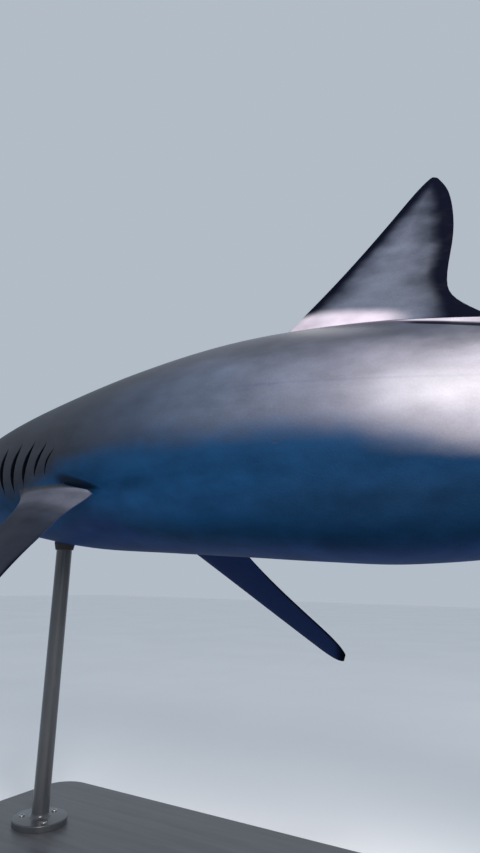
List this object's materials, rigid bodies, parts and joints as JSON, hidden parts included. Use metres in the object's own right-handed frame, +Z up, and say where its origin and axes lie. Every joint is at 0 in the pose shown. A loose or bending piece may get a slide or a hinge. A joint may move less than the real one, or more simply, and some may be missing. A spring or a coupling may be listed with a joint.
{
  "type": "silky shark",
  "caption": "Life-size swimming silky shark with drooping pectoral fins, a tall first dorsal fin and a long-lobed tail, held level on a flat base by slim rods.",
  "frame": {"origin": "on the floor, under the middle of the whole model's box", "axes": "+Z up, the head points along -X and the tail along +X, the shark's left flank faces -Y"},
  "size_m": [2.2502, 0.8048, 0.962],
  "materials": {
    "skin": "smooth satin skin, brown-grey above, slate on the lower flank and pale below",
    "fin_skin": "smooth satin skin with dark edges and dusky tips",
    "eye": "wet and glossy, dark iris with an upright slit pupil",
    "tooth": "smooth ivory, satin gloss, for the teeth that show in the mouth",
    "stand_board": "painted charcoal, satin",
    "stand_rod": "painted charcoal, satin"
  },
  "bodies": {
    "root": {"head": "skin", "lower_jaw": "skin", "trunk_front": "skin", "trunk_middle": "skin", "trunk_rear": "skin", "tail_stalk": "skin", "caudal_fin_upper": "fin_skin", "caudal_fin_lower": "fin_skin", "dorsal_fin_first": "fin_skin", "dorsal_fin_second": "fin_skin", "anal_fin": "fin_skin", "pectoral_fin_left": "fin_skin", "pectoral_fin_right": "fin_skin", "pelvic_fin_left": "fin_skin", "pelvic_fin_right": "fin_skin", "eye_left": "eye", "eye_right": "eye", "stand_base": "stand_board", "stand_rod_front": "stand_rod", "stand_rod_rear": "stand_rod"}
  },
  "joints": []
}
